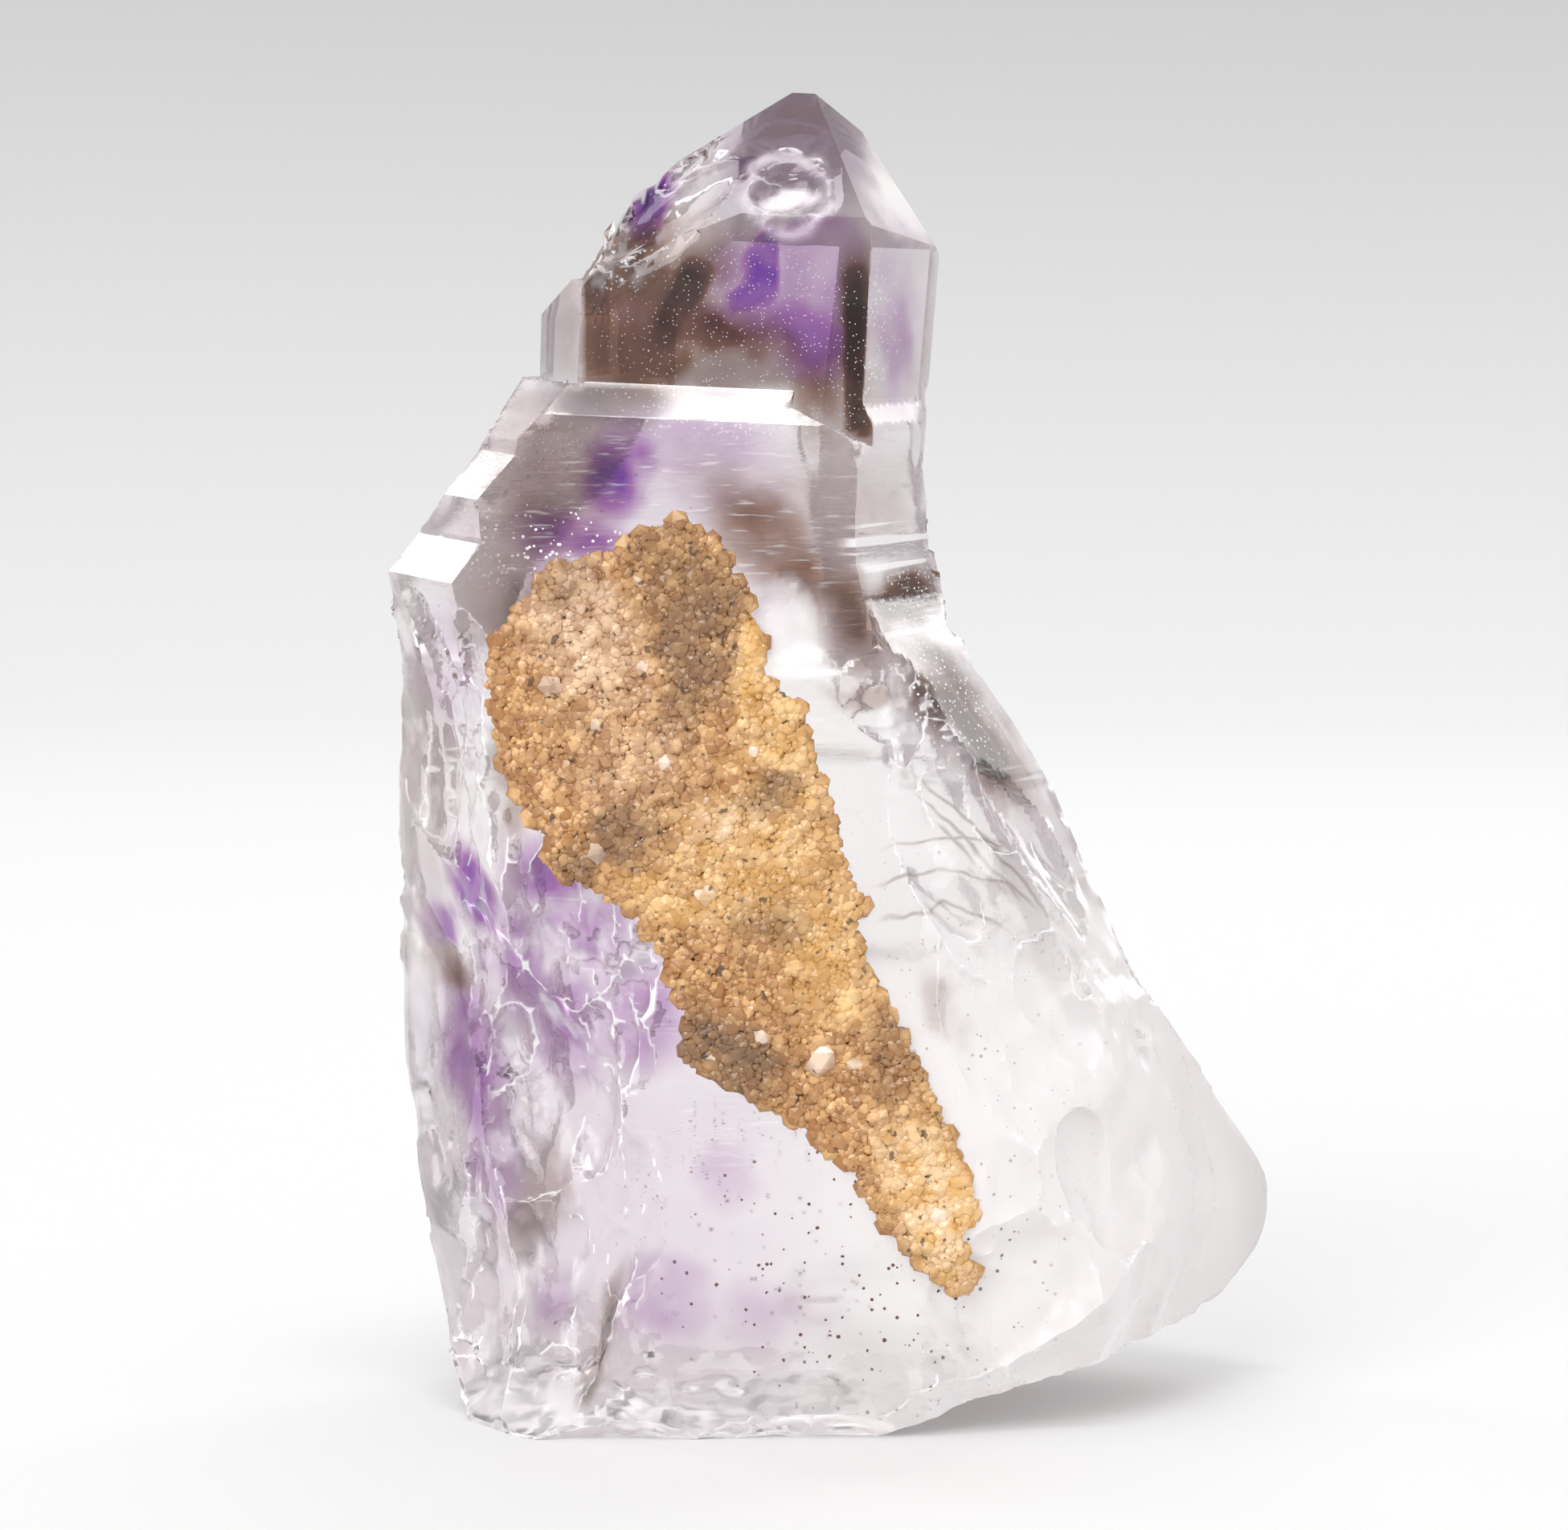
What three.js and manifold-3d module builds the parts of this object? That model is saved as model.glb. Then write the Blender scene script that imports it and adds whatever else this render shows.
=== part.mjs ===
// A reverse scepter quartz: a clear, broad, stepped crystal with a narrower second growth as its tip.
// The crystal is broken off flat at the foot, and a crust of fine quartz grains lies on its front face.
// Millimetres, +Z up, -Y towards the viewer. The origin is under the middle of the object, on the plane
// it stands on.
import * as THREE from 'three';
import { mergeVertices } from 'three/addons/utils/BufferGeometryUtils.js';
import Module from 'manifold-3d';

const wasm = await Module();
wasm.setup();

// Driving dimensions
const LEAN_DEG = 2.5; // the long axis leans to the right
const BODY_FRONT_Y = -10.8; // front face of the broad crystal at its top ledge
const BODY_TOP_Z = 50.7;
const FRONT_FLARE = 0.024; // how much the front face comes forward for each millimetre down
const TIP_FRONT_Y = -9.6; // front face of the narrow tip, set back behind the ledge
const SHOULDER_INSET = 0.15; // the small side crystal's front lies this far behind the tip's
const LEDGE_PROUD = 0.1; // the ledge's upper edge stands this far in front of the tip
const BOWL_DETAIL = 5; // how finely the bowl of a shell-shaped break is faceted
const CRUST_GAP = 0.3; // clearance between the crust and the face it grew on
const CRUST_SLAB = 0.55; // thickness of the crust between its grains
const GRAIN_PITCH = 1.85; // spacing of the crust's larger grains
const GRAIN_RADII = [0.42, 0.72]; // smallest and largest grain against the pitch
const ROOT3 = Math.sqrt(3);
const WELD = 1e-4; // points closer than this are one

// Levels of the broad crystal, from its foot up, before it leans:
// height, left corner, front left edge, front right edge, right corner, back face.
// A level is a hexagon with 120 degree corners, so every wall between two levels is flat.
const BODY_LEVELS = [
  [-4.0, -18.8, -15.0, 7.5, 12.5, 10.6],
  [0.5, -19.2, -15.4, 9.0, 14.5, 11.2],
  [4.0, -19.8, -14.8, 11.5, 18.6, 12.0],
  [8.0, -21.1, -14.4, 13.0, 22.0, 12.6],
  [11.0, -21.7, -14.9, 13.6, 22.9, 12.8],
  [13.0, -22.0, -15.2, 13.4, 21.8, 12.8],
  [17.0, -23.0, -15.6, 12.2, 18.9, 12.4],
  [22.0, -23.2, -15.3, 10.3, 15.3, 12.0],
  [23.0, -23.2, -15.5, 9.6, 14.5, 10.9],
  [28.0, -23.3, -17.2, 7.2, 11.9, 10.4],
  [32.6, -23.5, -18.2, 5.2, 9.7, 9.6],
  [33.3, -23.5, -18.3, 5.1, 9.2, 8.8],
  [35.2, -23.6, -18.6, 4.0, 8.0, 8.6],
  [38.0, -23.8, -19.2, 2.3, 5.9, 8.4],
  [38.4, -23.9, -19.4, 1.9, 5.5, 7.6],
  [39.8, -24.3, -20.0, 0.9, 4.9, 7.4],
  [40.3, -24.3, -20.3, 0.6, 4.3, 7.4],
  [42.1, -24.2, -20.8, -0.3, 3.9, 7.2],
  [44.1, -22.7, -19.4, -0.8, 3.4, 6.0],
  [44.4, -22.6, -19.4, -0.8, 3.0, 5.9],
  [46.3, -21.4, -19.7, -0.9, 2.8, 5.8],
  [48.6, -19.8, -17.9, -0.9, 2.4, 5.6],
  [49.4, -19.5, -17.8, -0.9, 2.3, 5.5],
  [BODY_TOP_Z, -18.7, -16.6, -0.9, 2.3, 5.2],
];
const LEDGE_TOP = [52.2, -17.8, -15.4, -1.0, 2.2, 4.4];
const LEDGE_END = { size: [6, 6, 8], turn: 26, at: [2.2, -12.6, 54.0] }; // block missing at its right end

// Levels of the tip: it is an even prism, and the faces of its point are cut afterwards.
const TIP_LEVELS = [
  [43.0, -16.8, -15.0, -0.9, 2.3, 5.0],
  [52.0, -16.9, -15.0, -0.8, 2.55, 5.2],
  [72.0, -17.0, -14.9, -0.6, 3.3, 5.2],
];
const SHOULDER_LEVELS = [
  [49.0, -16.9, -15.1, -12.0, -9.6, 0.2],
  [55.4, -17.0, -15.1, -12.0, -9.6, 0.0],
  [57.3, -15.5, -14.6, -12.2, -10.4, -2.4],
];

// Flat faces that shape the point: a place on the face, and the way it faces.
const POINT_APEX = [-2.0, -3.6, 67.1];
const POINT_FACES = [
  { at: POINT_APEX, facing: [0.025, -0.7, 0.71] }, // broad front face of the point
  { at: [-0.8, -3.6, 67.0], facing: [0.75, -0.29, 0.6] }, // narrow right face
  { at: [5.4, -4.6, 59.4], facing: [0.86, 0.2, 0.48] }, // small bevel under it
  { at: POINT_APEX, facing: [-0.63, 0.37, 0.68] }, // back left face
  { at: POINT_APEX, facing: [0.04, 0.66, 0.75] }, // back face
  { at: [-7.8, -7.2, 63.65], facing: [-0.21, -0.82, 0.54] }, // lower left front face
  { at: [-9.8, -7.7, 62.07], facing: [-0.85, -0.05, 0.52] }, // steep left face
];

// Flat cleaved faces around the foot, where it broke away from its rock.
const FOOT_FACES = [
  { at: [0, 0, 0], facing: [0, 0, -1] }, // what it stands on
  { at: [3.8, 0, 0], facing: [0.3, -0.04, -1] }, // rises towards the right
  { at: [20.9, -2, 4.4], facing: [0.8, -0.1, -1] },
  { at: [16, 8, 4.4], facing: [0.45, 0.5, -0.8] },
  { at: [-6, 9.6, 0.4], facing: [-0.05, 0.6, -0.8] },
  { at: [-18.6, -2, 1.2], facing: [-0.8, 0.1, -0.7] },
];

// Flat cleaved faces that take off the lower stretches of the broad crystal's upright edges.
const EDGE_FACES = [
  { at: [13.0, -10.3, 12.0], facing: [0.55, -0.8, 0.13] },
  { at: [11.6, -10.9, 5.6], facing: [0.35, -0.8, -0.5] },
  { at: [19.0, -3.6, 12.0], facing: [0.88, -0.45, 0.06] },
  { at: [15.6, 10.6, 9.0], facing: [0.66, 0.74, 0.16] },
  { at: [-14.6, 10.6, 9.0], facing: [-0.6, 0.8, -0.02] },
];

// Shell-shaped breaks: a place on the surface, the way it faces, the radii of the bowl across,
// along and into the crystal, how deep it goes, and its turn in degrees.
const BREAKS = [
  // the chipped front left edge, from the top down: long flakes with sharp ridges between them
  { at: [-17.6, -11.1, 36.2], facing: [-0.6, -0.8, 0.1], size: [5, 7, 5], deep: 0.9, turn: 8 },
  { at: [-16.4, -11.2, 28.6], facing: [-0.5, -0.86, 0.06], size: [10, 13, 11], deep: 1.6, turn: 14 },
  { at: [-14.0, -11.3, 23.2], facing: [-0.25, -0.95, 0.15], size: [8, 5, 7], deep: 1.2, turn: -32 },
  { at: [-13.8, -11.2, 21.0], facing: [-0.35, -0.93, 0], size: [8, 14, 9], deep: 2.0, turn: 6 },
  { at: [-16.4, -10.4, 18.8], facing: [-0.7, -0.7, 0.1], size: [5, 8, 6], deep: 1.5, turn: 20 },
  { at: [-15.0, -10.2, 16.2], facing: [-0.6, -0.8, 0.05], size: [7, 9, 8], deep: 2.8, turn: 18 },
  { at: [-12.6, -11.2, 13.0], facing: [-0.4, -0.9, -0.1], size: [13, 10, 13], deep: 1.2, turn: -22 },
  { at: [-14.0, -10.7, 11.0], facing: [-0.5, -0.85, -0.05], size: [7, 13, 8], deep: 2.2, turn: -14 },
  { at: [-15.0, -9.8, 6.4], facing: [-0.6, -0.8, -0.1], size: [10, 8, 10], deep: 1.0, turn: 16 },
  { at: [-14.8, -10.3, 5.6], facing: [-0.5, -0.8, -0.2], size: [6, 5, 6], deep: 1.1, turn: 10 },
  // the left face behind that edge
  { at: [-20.0, -5.6, 29.6], facing: [-0.86, -0.5, 0.1], size: [12, 18, 12], deep: 0.8, turn: 12 },
  { at: [-19.8, -4.8, 24.0], facing: [-0.8, -0.55, 0.15], size: [3.5, 4.5, 4], deep: 0.9, turn: -20 },
  { at: [-20.4, -2.8, 12.6], facing: [-0.86, -0.5, -0.1], size: [12, 14, 12], deep: 0.9, turn: 14 },
  { at: [-18.2, -6.4, 8.4], facing: [-0.8, -0.55, -0.15], size: [9, 12, 10], deep: 0.9, turn: 10 },
  // the front face beside and below the crust
  { at: [-10.6, -11.5, 22.4], facing: [-0.15, -0.98, 0.08], size: [16, 20, 18], deep: 0.5, turn: -12 },
  { at: [-10.4, -11.7, 14.0], facing: [-0.1, -0.98, 0.06], size: [14, 16, 16], deep: 0.5, turn: -30 },
  { at: [2.6, -11.1, 38.2], facing: [0.35, -0.85, -0.4], size: [6, 3, 5], deep: 0.8, turn: 6 },
  { at: [4.4, -11.2, 35.0], facing: [0.45, -0.88, 0.2], size: [5, 5, 6], deep: 0.8, turn: -20 },
  { at: [-1.0, -12.0, 0.2], facing: [0.05, -0.7, -0.7], size: [14, 8, 6], deep: 0.8, turn: 3 },
  { at: [-9.4, -12.0, 0.2], facing: [-0.1, -0.75, -0.65], size: [9, 6, 6], deep: 0.5, turn: -4 },
  // the great shell-shaped breaks on the right
  { at: [7.4, -10.9, 30.0], facing: [0.48, -0.87, 0.1], size: [14, 11, 13], deep: 2.0, turn: 34 },
  { at: [9.6, -10.2, 21.6], facing: [0.42, -0.88, 0.15], size: [17, 14, 15], deep: 1.3, turn: 24 },
  { at: [14.6, -8.8, 13.6], facing: [0.62, -0.76, 0.1], size: [14, 10, 12], deep: 1.1, turn: -14 },
  { at: [8.6, -11.4, 8.4], facing: [0.2, -0.95, -0.2], size: [13, 9, 11], deep: 0.8, turn: 30 },
  { at: [18.8, -3.8, 5.8], facing: [0.75, -0.5, -0.45], size: [12, 10, 10], deep: 1.0, turn: -20 },
  { at: [17.0, -4.0, 19.8], facing: [0.86, -0.42, 0.28], size: [14, 18, 14], deep: 0.8, turn: 30 },
  // the left corner and the back
  { at: [-22.6, 0.4, 17.0], facing: [-1, 0.1, 0.05], size: [9, 14, 10], deep: 0.5, turn: 6 },
  { at: [-21.2, 3.4, 7.0], facing: [-0.86, 0.5, -0.1], size: [9, 9, 9], deep: 0.9, turn: 0 },
  { at: [-22.8, -3.4, 36.0], facing: [-1, -0.1, 0.1], size: [9, 6, 9], deep: 0.4, turn: 0 },
  { at: [13.2, 11.6, 9.6], facing: [0.45, 0.86, -0.05], size: [15, 12, 14], deep: 1.3, turn: -14 },
  { at: [1.0, 12.6, 4.4], facing: [0.05, 0.95, -0.25], size: [20, 10, 14], deep: 1.1, turn: 8 },
  { at: [-14.6, 10.0, 16.0], facing: [-0.55, 0.82, 0.05], size: [14, 17, 13], deep: 1.2, turn: 16 },
];
const PIT = { at: [-2.0, -8.3, 62.4], facing: [0.025, -0.7, 0.71], size: [3, 3, 3], deep: 0.6, turn: 0 };

// Outline of the crust on the front face, clockwise from its highest place: across, and up.
const CRUST_OUTLINE = [
  [-7.6, 46.2], [-5.6, 44.8], [-4.7, 42.1], [-3.4, 38.4], [-1.6, 35.7], [-0.4, 33.0],
  [0.1, 30.6], [1.1, 27.9], [1.2, 25.2], [2.5, 22.1], [4.4, 18.3], [6.3, 14.5],
  [7.2, 11.6], [6.4, 10.4], [6.6, 7.4], [4.8, 8.4], [2.6, 10.8], [1.0, 13.8],
  [-1.3, 15.8], [-4.1, 17.4], [-7.3, 19.0], [-7.4, 21.6], [-8.3, 24.4], [-9.9, 27.0],
  [-12.8, 28.2], [-14.8, 31.0], [-16.4, 34.0], [-17.2, 37.6], [-16.8, 40.2], [-15.2, 42.0],
  [-14.2, 43.8], [-11.6, 44.2],
];

// A repeatable stream of numbers from 0 to 1.
function stream(seed) {
  let state = seed;
  return () => {
    state = (state * 1664525 + 1013904223) % 4294967296;
    return state / 4294967296;
  };
}

function solidOf(geometry) {
  const bare = geometry.index ? geometry.toNonIndexed() : geometry.clone();
  const merged = mergeVertices(
    new THREE.BufferGeometry().setAttribute('position', bare.getAttribute('position')), WELD);
  return new wasm.Manifold(new wasm.Mesh({
    numProp: 3,
    vertProperties: merged.attributes.position.array,
    triVerts: new Uint32Array(merged.index.array),
  }));
}

function geometryOf(solid) {
  const mesh = solid.getMesh();
  const positions = new Float32Array(mesh.numVert * 3);
  for (let i = 0; i < mesh.numVert; i++) {
    positions.set(mesh.vertProperties.subarray(i * mesh.numProp, i * mesh.numProp + 3), i * 3);
  }
  const indexed = new THREE.BufferGeometry();
  indexed.setAttribute('position', new THREE.BufferAttribute(positions, 3));
  indexed.setIndex(new THREE.BufferAttribute(mesh.triVerts, 1));
  const geometry = indexed.toNonIndexed();
  geometry.computeVertexNormals();
  return geometry;
}

// Y of the broad crystal's front face at a height along its own axis.
const frontAt = (height) => BODY_FRONT_Y - FRONT_FLARE * (BODY_TOP_Z - height);

// The six corners of a level, anticlockwise seen from above, from the front left edge on.
function hexagon([z, left, frontLeft, frontRight, right, back], front) {
  const rightY = front + (right - frontRight) * ROOT3;
  const leftY = front + (frontLeft - left) * ROOT3;
  return [
    [frontLeft, front, z], [frontRight, front, z], [right, rightY, z],
    [right - (back - rightY) / ROOT3, back, z], [left + (back - leftY) / ROOT3, back, z],
    [left, leftY, z],
  ];
}

// A closed skin over a stack of hexagons.
function stack(rings) {
  const corners = rings.flat();
  const faces = [];
  for (let level = 0; level + 1 < rings.length; level++) {
    for (let side = 0; side < 6; side++) {
      const a = level * 6 + side;
      const b = level * 6 + ((side + 1) % 6);
      faces.push(a, b, b + 6, a, b + 6, a + 6);
    }
  }
  const last = (rings.length - 1) * 6;
  for (let side = 1; side < 5; side++) {
    faces.push(0, side + 1, side, last, last + side, last + side + 1);
  }
  const geometry = new THREE.BufferGeometry();
  geometry.setAttribute('position', new THREE.Float32BufferAttribute(corners.flat(), 3));
  geometry.setIndex(faces);
  return geometry.rotateY(THREE.MathUtils.degToRad(LEAN_DEG));
}

// Takes away everything in front of a flat face that passes through a place.
function cleave(solid, { at, facing }) {
  const reach = 120;
  const block = new THREE.BoxGeometry(reach, reach, reach).translate(0, 0, reach / 2);
  const turn = new THREE.Quaternion().setFromUnitVectors(
    new THREE.Vector3(0, 0, 1), new THREE.Vector3(...facing).normalize());
  block.applyQuaternion(turn).translate(...at);
  return solid.subtract(solidOf(block));
}

// A shell-shaped break: takes a bowl out of the surface at a place.
function breakOff(solid, { at, facing, size, deep, turn }) {
  const bowl = new THREE.IcosahedronGeometry(1, BOWL_DETAIL).scale(...size);
  bowl.rotateZ(THREE.MathUtils.degToRad(turn)).translate(0, 0, size[2] - deep);
  bowl.applyMatrix4(new THREE.Matrix4().lookAt(
    new THREE.Vector3(...facing), new THREE.Vector3(), new THREE.Vector3(0, 0, 1)));
  return solid.subtract(solidOf(bowl.translate(...at)));
}

function makeTip() {
  const prism = solidOf(stack(TIP_LEVELS.map((level) => hexagon(level, TIP_FRONT_Y))));
  const pointed = POINT_FACES.reduce(cleave, prism);
  const front = TIP_FRONT_Y + SHOULDER_INSET;
  const shoulder = solidOf(stack(SHOULDER_LEVELS.map((level) => hexagon(level, front))));
  return breakOff(pointed.add(shoulder), PIT);
}

function makeBody() {
  const rings = BODY_LEVELS.map((level) => hexagon(level, frontAt(level[0])));
  rings.push(hexagon(LEDGE_TOP, TIP_FRONT_Y - LEDGE_PROUD));
  const end = new THREE.BoxGeometry(...LEDGE_END.size);
  end.rotateY(THREE.MathUtils.degToRad(LEDGE_END.turn)).translate(...LEDGE_END.at);
  const whole = solidOf(stack(rings)).subtract(solidOf(end));
  return EDGE_FACES.reduce(cleave, whole);
}

function makeCrystal() {
  const grown = makeBody().add(makeTip());
  const broken = BREAKS.reduce(breakOff, grown);
  return FOOT_FACES.reduce(cleave, broken);
}

// Fills the small pockets that grains close off between them.
function outerSkin(solid) {
  return solid.decompose().reduce((most, part) => (part.volume() > most.volume() ? part : most));
}

// Height along the leaning crystal's own axis of a place on its front face.
function heightAlong(x, z) {
  const lean = THREE.MathUtils.degToRad(LEAN_DEG);
  return x * Math.sin(lean) + z * Math.cos(lean);
}

function inside(outline, x, z) {
  let odd = false;
  outline.forEach(([ax, az], i) => {
    const [bx, bz] = outline[(i + 1) % outline.length];
    if ((az > z) !== (bz > z) && x < ((bx - ax) * (z - az)) / (bz - az) + ax) odd = !odd;
  });
  return odd;
}

// The crust: a thin slab with the outline, and grains of uneven size half sunk in it.
function makeCrust() {
  const shape = new THREE.Shape(CRUST_OUTLINE.map(([x, z]) => new THREE.Vector2(x, z)));
  const slab = new THREE.ExtrudeGeometry(shape, { depth: CRUST_SLAB, bevelEnabled: false });
  const places = slab.getAttribute('position');
  for (let i = 0; i < places.count; i++) {
    const [x, z, out] = [places.getX(i), places.getY(i), places.getZ(i)];
    places.setXYZ(i, x, frontAt(heightAlong(x, z)) - CRUST_GAP - out, z);
  }
  const random = stream(7);
  const [least, most] = GRAIN_RADII;
  const { min, max } = new THREE.Box2().setFromPoints(shape.getPoints());
  const grains = [];
  for (let z = min.y; z < max.y; z += (GRAIN_PITCH * ROOT3) / 2) {
    for (let x = min.x; x < max.x; x += GRAIN_PITCH) {
      const gx = x + (random() - 0.5) * GRAIN_PITCH;
      const gz = z + (random() - 0.5) * GRAIN_PITCH;
      const radius = GRAIN_PITCH * (least + (most - least) * random() ** 3);
      const spin = random() * Math.PI;
      if (!inside(CRUST_OUTLINE, gx, gz)) continue;
      const grain = new THREE.IcosahedronGeometry(radius, 0).rotateX(spin).rotateY(spin * 1.7);
      const face = frontAt(heightAlong(gx, gz)) - CRUST_GAP;
      grain.translate(gx, Math.min(face - CRUST_SLAB, face - radius), gz);
      grains.push(solidOf(grain));
    }
  }
  return outerSkin(wasm.Manifold.union([solidOf(slab), ...grains]));
}

const quartz = new THREE.MeshStandardMaterial({
  color: 0xe9e2ee, roughness: 0.08, metalness: 0, transparent: true, opacity: 0.45,
});
const grainy = new THREE.MeshStandardMaterial({ color: 0xb89a72, roughness: 0.6, metalness: 0 });

function named(name, solid, material) {
  const mesh = new THREE.Mesh(geometryOf(solid), material);
  mesh.name = name;
  return mesh;
}

const group = new THREE.Group();
group.add(named('quartz_crystal', makeCrystal(), quartz));
group.add(named('grain_crust', makeCrust(), grainy));

// The origin is under the middle of the object, on the plane it stands on.
const box = new THREE.Box3().setFromObject(group);
group.position.set(-(box.min.x + box.max.x) / 2, -(box.min.y + box.max.y) / 2, -box.min.z);

export default group;
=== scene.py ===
# A reverse scepter quartz: a broad, stepped, clear crystal with a narrower second growth as its tip,
# broken off flat at the foot, and a crust of fine quartz grains on its broad front face.
import math

import bmesh
import bpy
import numpy as np
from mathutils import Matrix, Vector


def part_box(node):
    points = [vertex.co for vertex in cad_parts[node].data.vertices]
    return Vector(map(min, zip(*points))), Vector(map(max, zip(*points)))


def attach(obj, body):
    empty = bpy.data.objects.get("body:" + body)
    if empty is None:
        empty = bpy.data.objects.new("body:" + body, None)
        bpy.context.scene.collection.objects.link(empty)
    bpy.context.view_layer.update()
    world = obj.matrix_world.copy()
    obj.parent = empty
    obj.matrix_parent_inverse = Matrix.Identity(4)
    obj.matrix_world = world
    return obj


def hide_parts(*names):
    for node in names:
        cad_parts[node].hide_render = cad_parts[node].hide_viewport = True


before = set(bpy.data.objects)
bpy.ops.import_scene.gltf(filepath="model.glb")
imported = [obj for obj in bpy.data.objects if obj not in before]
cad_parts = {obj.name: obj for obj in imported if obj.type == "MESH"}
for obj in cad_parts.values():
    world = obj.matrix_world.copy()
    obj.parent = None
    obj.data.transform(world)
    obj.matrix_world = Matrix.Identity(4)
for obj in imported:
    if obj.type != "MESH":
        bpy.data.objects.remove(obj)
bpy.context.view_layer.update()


# Quartz crystal. One solid of clear quartz, lilac and smoky in patches, with a few dark flecks.
# Its faces grew flat and glossy in steps; its lower edges and its foot broke in shell-shaped scars.

MM = 0.001
LEAN = math.radians(2.5)
TIP_START = 52.4 * MM
GRID_DEPTH = 8  # the fine surface has cells of about 0.3 mm
GRID_SHARE = 0.87
WELD = 0.001 * MM
SIDE_TURN = 60  # degrees between neighbouring faces of a six-sided level
FACE_DEG = 2.5  # a face within this of a level's six bearings grew, and didn't break
EDGE_DEG = 17  # a bend sharper than this is an edge of the solid, and keeps its place
CREASE_DEG = 24  # a bend sharper than this stays a crisp edge
RIDGE_DEG = 28  # a bend sharper than this is a ridge between chips, and gets a painted white highlight
SHAPING_ROUNDS = 60
BLEND_ROUNDS = 4


def fine_copy(node, depth, share):
    """The node's own surface as an even grid of small four-sided faces that keeps its sharp edges."""
    skin = node.data.copy()
    welded = bmesh.new()
    welded.from_mesh(skin)
    bmesh.ops.remove_doubles(welded, verts=welded.verts, dist=WELD)
    welded.to_mesh(skin)
    welded.free()
    holder = bpy.data.objects.new("fine copy", skin)
    bpy.context.scene.collection.objects.link(holder)
    grid = holder.modifiers.new("even grid", "REMESH")
    grid.mode = "SHARP"
    grid.octree_depth = depth
    grid.scale = share
    seen = holder.evaluated_get(bpy.context.evaluated_depsgraph_get())
    fine = bpy.data.meshes.new_from_object(seen)
    bpy.data.objects.remove(holder)
    fine.materials.clear()
    return fine


def read(items, name, width, kind=float):
    """One property of every item of a mesh, as an array with a row for each item."""
    values = np.empty(len(items) * width, kind)
    items.foreach_get(name, values)
    return values.reshape(-1, width) if width > 1 else values


def edge_bends(mesh):
    """How far the surface turns at each edge, in degrees: the angle between its two faces' normals.
    A ridge counts as positive and a hollow as negative."""
    edge_of_corner = read(mesh.loops, "edge_index", 1, int)
    face_of_corner = np.repeat(np.arange(len(mesh.polygons)), read(mesh.polygons, "loop_total", 1, int))
    order = np.argsort(edge_of_corner, kind="stable")
    starts = np.searchsorted(edge_of_corner[order], np.arange(len(mesh.edges)))
    one, other = face_of_corner[order[starts]], face_of_corner[order[starts + 1]]
    normals = read(mesh.polygons, "normal", 3)
    centres = read(mesh.polygons, "center", 3)
    bends = np.degrees(np.arccos(np.clip((normals[one] * normals[other]).sum(1), -1, 1)))
    falls = ((centres[other] - centres[one]) * normals[one]).sum(1) < 0
    return np.where(falls, bends, -bends)


def relaxed(points, edges, free, rounds):
    """The points after each free one has moved halfway to the mean of its neighbours, round after round."""
    ends, others = np.concatenate([edges, edges[:, ::-1]]).T
    count = np.maximum(np.bincount(ends, minlength=len(points)), 1)
    for _ in range(rounds):
        mean = np.stack(
            [np.bincount(ends, points[others, axis], len(points)) for axis in range(3)], 1) / count[:, None]
        points = points + 0.5 * free[:, None] * (mean - points)
    return points


WAVE_COUNT = 10
WAVE_SPREAD = 4.5  # about twice the usual height of so many waves together
WAVER_SIZE = 4 * MM


def rough_field(points, size, seed, octaves=3):
    """An uneven field of about -1 to 1: sine waves in random directions, each octave half as long."""
    random = np.random.default_rng(seed)
    field = np.zeros(len(points))
    for octave in range(octaves):
        directions = random.normal(size=(WAVE_COUNT, 3))
        directions /= np.linalg.norm(directions, axis=1)[:, None]
        waves = directions * (math.tau / (size / 2 ** octave))
        shifts = random.uniform(0, math.tau, WAVE_COUNT)
        field += np.sin(points @ waves.T + shifts).sum(1) / (WAVE_SPREAD * 2 ** octave)
    return field


def patches(points, places, waver=0.0, corners=2):
    """A soft field from 0 to 1: the largest of some leaning patches seen from the front.
    Each patch is (across, up, half width, half height, turn in degrees, strength, softness), in mm.
    It is full up to its rim less the softness, and fades to nothing by its rim plus the softness.
    Its rim wavers to and fro by the waver, in mm. It is oval, or nearly square with more corners."""
    field = np.zeros(len(points))
    x_place = points[:, 0] / MM + waver * rough_field(points, WAVER_SIZE, seed=21)
    z_place = points[:, 2] / MM + waver * rough_field(points, WAVER_SIZE, seed=22)
    for across, up, wide, high, turn, strength, soft in places:
        angle = math.radians(turn)
        x = x_place - across
        z = z_place - up
        along = (x * math.cos(angle) + z * math.sin(angle)) / wide
        over = (z * math.cos(angle) - x * math.sin(angle)) / high
        reach = (np.abs(along) ** corners + np.abs(over) ** corners) ** (1 / corners)
        fade = np.clip((1 + soft - reach) / (2 * soft), 0, 1)
        field = np.maximum(field, strength * fade * fade * (3 - 2 * fade))
    return field


def chipped(points, free, picked, facing, radii, depths, run, stretch):
    """The points with shell-shaped chips taken out at the picked ones: the free points inside a ball that
    dips into the surface, drawn out along the surface's run, move away from its middle onto its skin."""
    for index, out, radius, depth in zip(picked, facing, radii, depths):
        middle = points[index] + out * (radius - depth)
        along = run - (run @ out) * out
        along /= np.linalg.norm(along) + 1e-9
        near = np.flatnonzero(free & (np.abs(points[:, 2] - middle[2]) < radius * stretch))
        offset = points[near] - middle
        squeezed = offset - np.outer(offset @ along, along) * (1 - 1 / stretch)
        distance = np.linalg.norm(squeezed, axis=1)
        inside = distance < radius
        points[near[inside]] = middle + offset[inside] * (radius / distance[inside])[:, None]
    return points


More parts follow.
